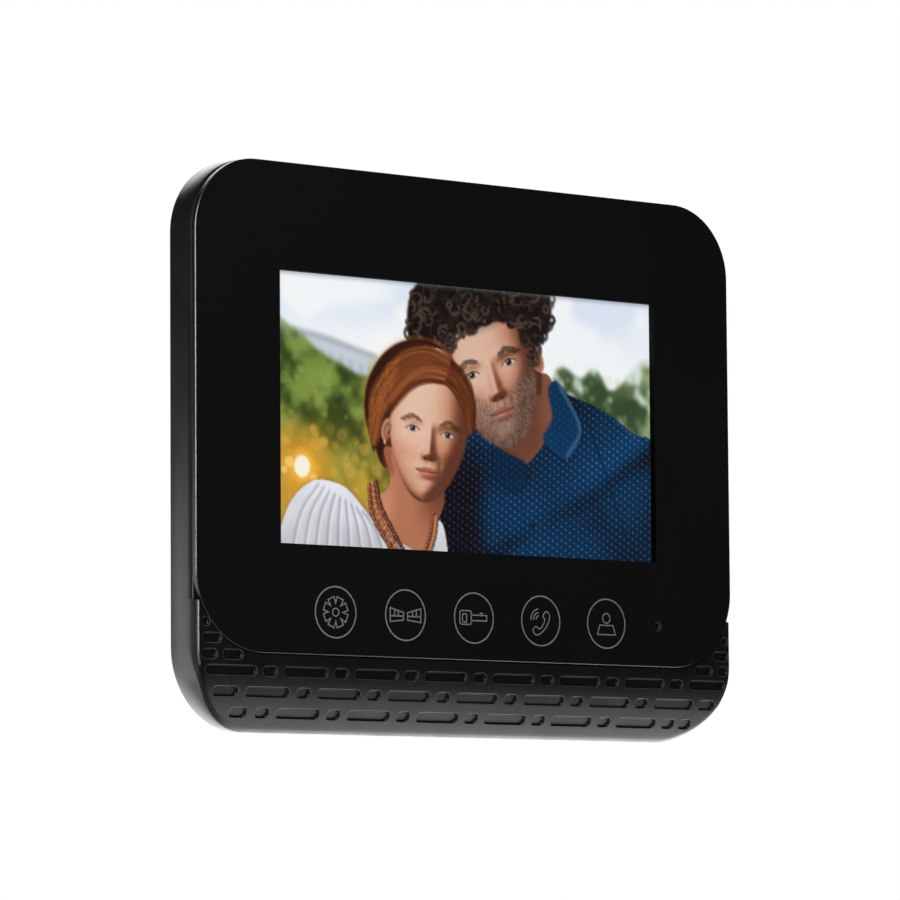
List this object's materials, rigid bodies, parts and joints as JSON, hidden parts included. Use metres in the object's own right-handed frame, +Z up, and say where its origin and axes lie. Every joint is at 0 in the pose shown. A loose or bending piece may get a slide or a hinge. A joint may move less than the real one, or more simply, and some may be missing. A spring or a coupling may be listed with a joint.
{
  "type": "video intercom monitor",
  "caption": "Flat wall-hung indoor video door monitor with a glossy front panel, wide display, touch keys and a textured chin, hooked on a steel bracket.",
  "frame": {"origin": "on the wall plane, behind the middle of the body, at the centre of the bracket's back face", "axes": "+X to the right of a person facing the display, +Y into the wall, +Z up"},
  "size_m": [0.222, 0.0182, 0.1794],
  "materials": {
    "housing_black": "fine spark-eroded texture, satin",
    "panel_gloss": "polished acrylic printed black on the back",
    "display_clear": "clear acrylic",
    "display_picture": "lit display showing a door scene",
    "white_plastic": "moulded, satin",
    "ivory_plastic": "moulded, satin",
    "bracket_steel": "zinc plated sheet",
    "screw_steel": "zinc plated, dulled",
    "aluminium_can": "drawn can, satin",
    "flex_amber": "polyimide film over copper",
    "board_green": "green solder mask",
    "chip_black": "moulded epoxy",
    "soft_black": "foam, felted paper and soft rubber",
    "speaker_plastic": "moulded, plain",
    "lead_red": "soft insulation",
    "lead_black": "soft insulation",
    "label_white": "blank printed film"
  },
  "bodies": {
    "bracket": {"wall_bracket": "bracket_steel"},
    "monitor": {"aux_socket": "ivory_plastic", "backlight_frame": "white_plastic", "backlight_tray": "bracket_steel", "board_screw_1": "screw_steel", "board_screw_2": "screw_steel", "board_screw_3": "screw_steel", "board_screw_4": "screw_steel", "capacitor_1": "aluminium_can", "capacitor_2": "aluminium_can", "capacitor_3": "aluminium_can", "clip_screw_1": "screw_steel", "clip_screw_2": "screw_steel", "clip_screw_3": "screw_steel", "clip_screw_4": "screw_steel", "display_clip_1": "bracket_steel", "display_clip_2": "bracket_steel", "display_clip_3": "bracket_steel", "display_clip_4": "bracket_steel", "display_window": "display_clear", "front_housing": "housing_black", "front_panel": "panel_gloss", "housing_screw_1": "screw_steel", "housing_screw_2": "screw_steel", "housing_screw_3": "screw_steel", "housing_screw_4": "screw_steel", "housing_screw_5": "screw_steel", "housing_screw_6": "screw_steel", "lcd_flex": "flex_amber", "lcd_glass": "display_picture", "led_strip": "flex_amber", "light_guide": "display_clear", "line_socket": "ivory_plastic", "line_switch_body": "bracket_steel", "main_board": "board_green", "memory_chip": "chip_black", "microphone": "aluminium_can", "microphone_boot": "soft_black", "microphone_lead": "lead_black", "panel_tape": "soft_black", "power_chip": "chip_black", "power_inductor_1": "chip_black", "power_inductor_2": "chip_black", "power_socket": "ivory_plastic", "processor": "chip_black", "rating_label": "label_white", "rear_cover": "housing_black", "shield_can": "bracket_steel", "speaker_cone": "soft_black", "speaker_frame": "speaker_plastic", "speaker_gasket": "soft_black", "speaker_lead_black": "lead_black", "speaker_lead_red": "lead_red", "speaker_magnet": "bracket_steel", "touch_board": "board_green", "touch_chip": "chip_black", "touch_flex": "flex_amber"},
    "switch": {"line_switch_lever": "white_plastic"}
  },
  "joints": [
    {"name": "lift_off", "type": "slide", "parent": "bracket", "child": "monitor", "axis": [0, 0, 1], "range_m": [0, 0.008]},
    {"name": "line_switch_slide", "type": "slide", "parent": "monitor", "child": "switch", "axis": [1, 0, 0], "range_m": [0, 0.003]}
  ]
}
